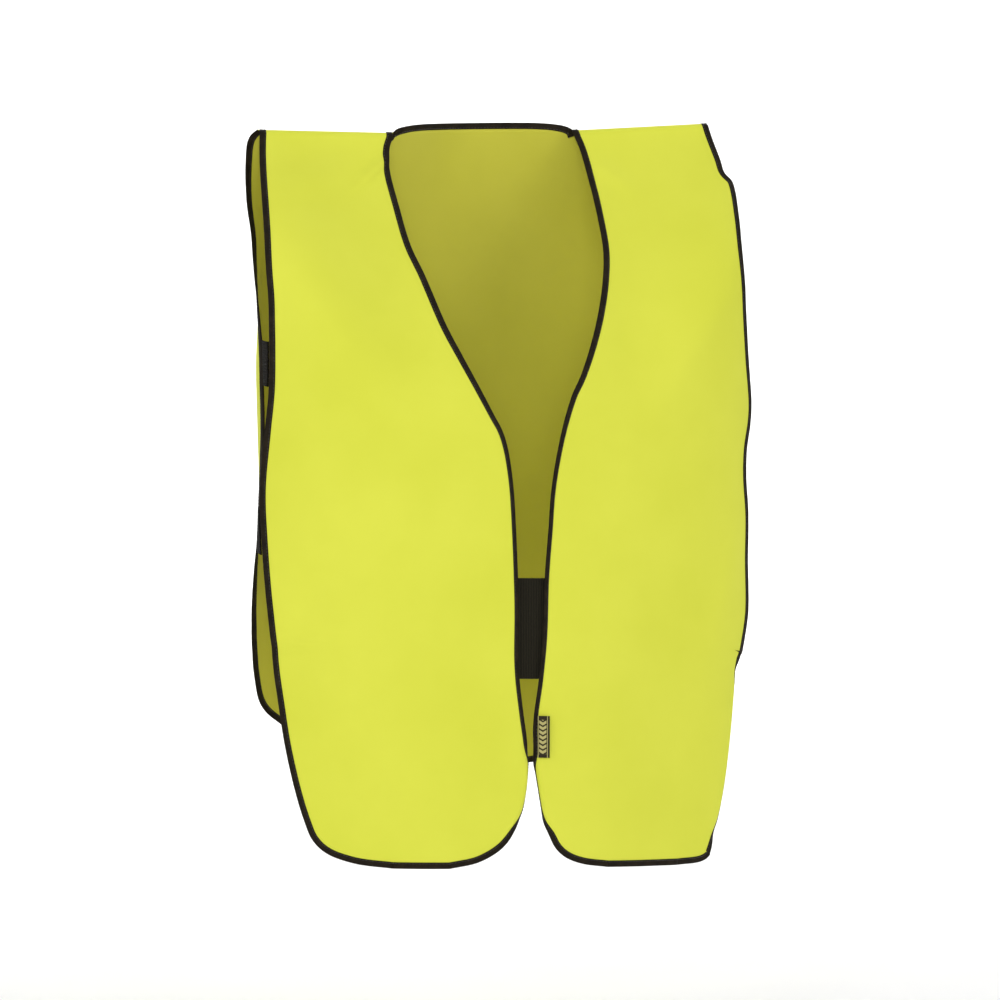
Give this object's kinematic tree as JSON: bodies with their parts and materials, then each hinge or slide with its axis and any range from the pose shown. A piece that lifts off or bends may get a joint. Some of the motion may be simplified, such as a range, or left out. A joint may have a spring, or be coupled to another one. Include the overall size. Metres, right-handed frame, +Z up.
{
  "type": "high-visibility safety vest",
  "caption": "Sleeveless open-front high-visibility vest with bound edges, elastic side straps, a hook-and-loop front closure and a woven edge label.",
  "frame": {"origin": "middle of the shoulder line, where the wearer's shoulders hold the vest up", "axes": "+X towards the wearer's left, +Y towards the wearer's back, +Z up"},
  "size_m": [0.4773, 0.2028, 0.6734],
  "materials": {
    "panel_cloth": "smooth fine woven polyester, fluorescent yellow-green",
    "binding_tape": "plain woven fold-over tape, near black",
    "elastic_webbing": "ribbed elastic webbing, black",
    "hook_tape": "hook tape, matte black",
    "loop_tape": "brushed loop tape, matte black",
    "label_weave": "dense woven label, black with a pale stripe pattern"
  },
  "bodies": {
    "back": {"back_panel": "panel_cloth", "back_neck_binding": "binding_tape", "back_side_binding_right": "binding_tape", "back_side_binding_left": "binding_tape", "back_hem_binding": "binding_tape", "shoulder_seam_right": "panel_cloth", "shoulder_seam_left": "panel_cloth", "side_strap_upper_right": "elastic_webbing", "side_strap_upper_left": "elastic_webbing", "side_strap_lower_right": "elastic_webbing", "side_strap_lower_left": "elastic_webbing"},
    "front_right": {"front_panel_right": "panel_cloth", "front_edge_binding_right": "binding_tape", "front_side_binding_right": "binding_tape", "front_hem_binding_right": "binding_tape", "closure_hook_strip": "hook_tape"},
    "front_left": {"front_panel_left": "panel_cloth", "front_edge_binding_left": "binding_tape", "front_side_binding_left": "binding_tape", "front_hem_binding_left": "binding_tape"},
    "closure_tab": {"closure_loop_strip": "loop_tape"},
    "label": {"woven_label": "label_weave"}
  },
  "joints": [
    {"name": "front_right_open", "type": "hinge", "parent": "back", "child": "front_right", "pos_m": [-0.2345, -0.053, -0.3], "axis": [0, 0, -1], "range_deg": [0, 100]},
    {"name": "front_left_open", "type": "hinge", "parent": "back", "child": "front_left", "pos_m": [0.2345, -0.053, -0.3], "axis": [0, 0, 1], "range_deg": [0, 65]},
    {"name": "closure_tab_peel", "type": "hinge", "parent": "front_left", "child": "closure_tab", "pos_m": [0.03, -0.1096, -0.452], "axis": [0, 0, -1], "range_deg": [0, 60]},
    {"name": "label_flip", "type": "hinge", "parent": "front_left", "child": "label", "pos_m": [0.004, -0.1161, -0.55], "axis": [0, 0, -1], "range_deg": [0, 150]}
  ],
  "couplings": [
    {"joint": "front_left_open", "follows": "front_right_open", "ratio": 0.65}
  ]
}
